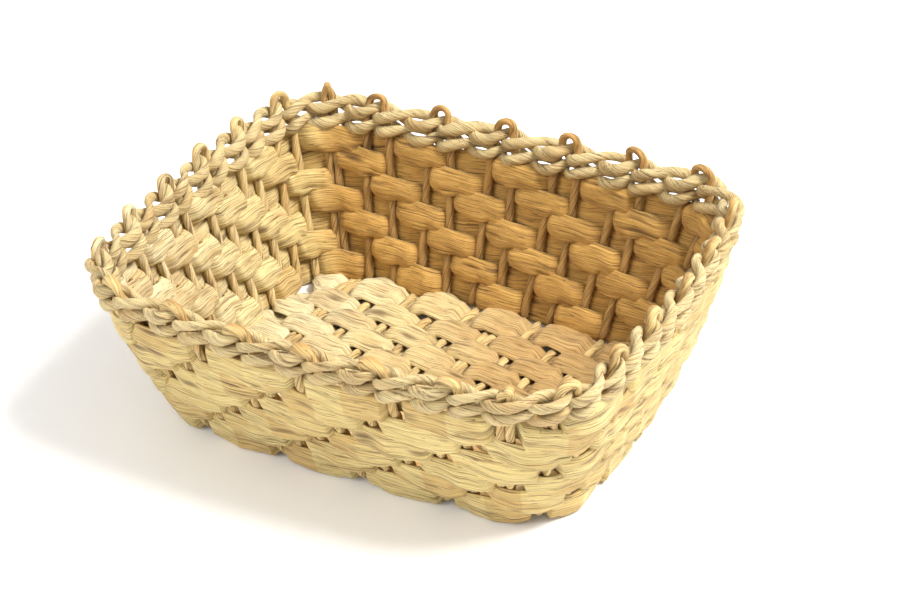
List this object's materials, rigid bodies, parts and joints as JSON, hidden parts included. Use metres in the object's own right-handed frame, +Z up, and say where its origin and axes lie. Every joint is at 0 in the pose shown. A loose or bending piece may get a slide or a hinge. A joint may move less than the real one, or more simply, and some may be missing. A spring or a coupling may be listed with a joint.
{
  "type": "woven basket",
  "caption": "Shallow rectangular open basket of woven dried leaf, with flaring twill walls, a twisted rope rim topped by small loops, and a plain-woven base.",
  "frame": {"origin": "centre of the underside, at the level that the basket stands on", "axes": "+Z up out of the open top, X along the long walls, front wall towards -Y"},
  "size_m": [0.3284, 0.2638, 0.1195],
  "materials": {
    "stake_leaf": "twisted dried leaf, matt golden tan",
    "wall_leaf": "flat dried leaf with fibre grooves, low satin, straw yellow",
    "rim_leaf": "twisted dried leaf, matt greyish straw",
    "base_leaf": "flat dried leaf with fibre grooves, low satin, warm straw"
  },
  "bodies": {
    "root": {"stake_hairpin_01": "stake_leaf", "stake_hairpin_02": "stake_leaf", "stake_hairpin_03": "stake_leaf", "stake_hairpin_04": "stake_leaf", "stake_hairpin_05": "stake_leaf", "stake_hairpin_06": "stake_leaf", "stake_hairpin_07": "stake_leaf", "stake_hairpin_08": "stake_leaf", "stake_hairpin_09": "stake_leaf", "stake_hairpin_10": "stake_leaf", "stake_hairpin_11": "stake_leaf", "stake_hairpin_12": "stake_leaf", "stake_hairpin_13": "stake_leaf", "stake_hairpin_14": "stake_leaf", "stake_hairpin_15": "stake_leaf", "stake_hairpin_16": "stake_leaf", "stake_hairpin_17": "stake_leaf", "stake_hairpin_18": "stake_leaf", "stake_hairpin_19": "stake_leaf", "stake_hairpin_20": "stake_leaf", "stake_hairpin_21": "stake_leaf", "stake_hairpin_22": "stake_leaf", "stake_hairpin_23": "stake_leaf", "stake_hairpin_24": "stake_leaf", "stake_hairpin_25": "stake_leaf", "stake_hairpin_26": "stake_leaf", "base_cord_01_a": "stake_leaf", "base_cord_01_b": "stake_leaf", "base_cord_02": "stake_leaf", "base_cord_03": "stake_leaf", "base_cord_04": "stake_leaf", "base_cord_05": "stake_leaf", "base_cord_06_a": "stake_leaf", "base_cord_06_b": "stake_leaf", "base_cord_07": "stake_leaf", "base_cord_08": "stake_leaf", "base_cord_09": "stake_leaf", "base_cord_10": "stake_leaf", "wall_weaver_row_01": "wall_leaf", "wall_weaver_row_02": "wall_leaf", "wall_weaver_row_03": "wall_leaf", "wall_weaver_row_04": "wall_leaf", "wall_weaver_row_05": "wall_leaf", "wall_weaver_row_06": "wall_leaf", "wall_weaver_row_07": "wall_leaf", "rim_cord_lower_a": "rim_leaf", "rim_cord_lower_b": "rim_leaf", "rim_cord_upper_a": "rim_leaf", "rim_cord_upper_b": "rim_leaf", "base_weaver_01": "base_leaf", "base_weaver_02": "base_leaf", "base_weaver_03": "base_leaf", "base_weaver_04": "base_leaf", "base_weaver_05": "base_leaf", "base_weaver_06": "base_leaf", "base_weaver_07": "base_leaf", "base_weaver_08": "base_leaf", "base_weaver_09": "base_leaf", "base_weaver_10": "base_leaf"}
  },
  "joints": []
}
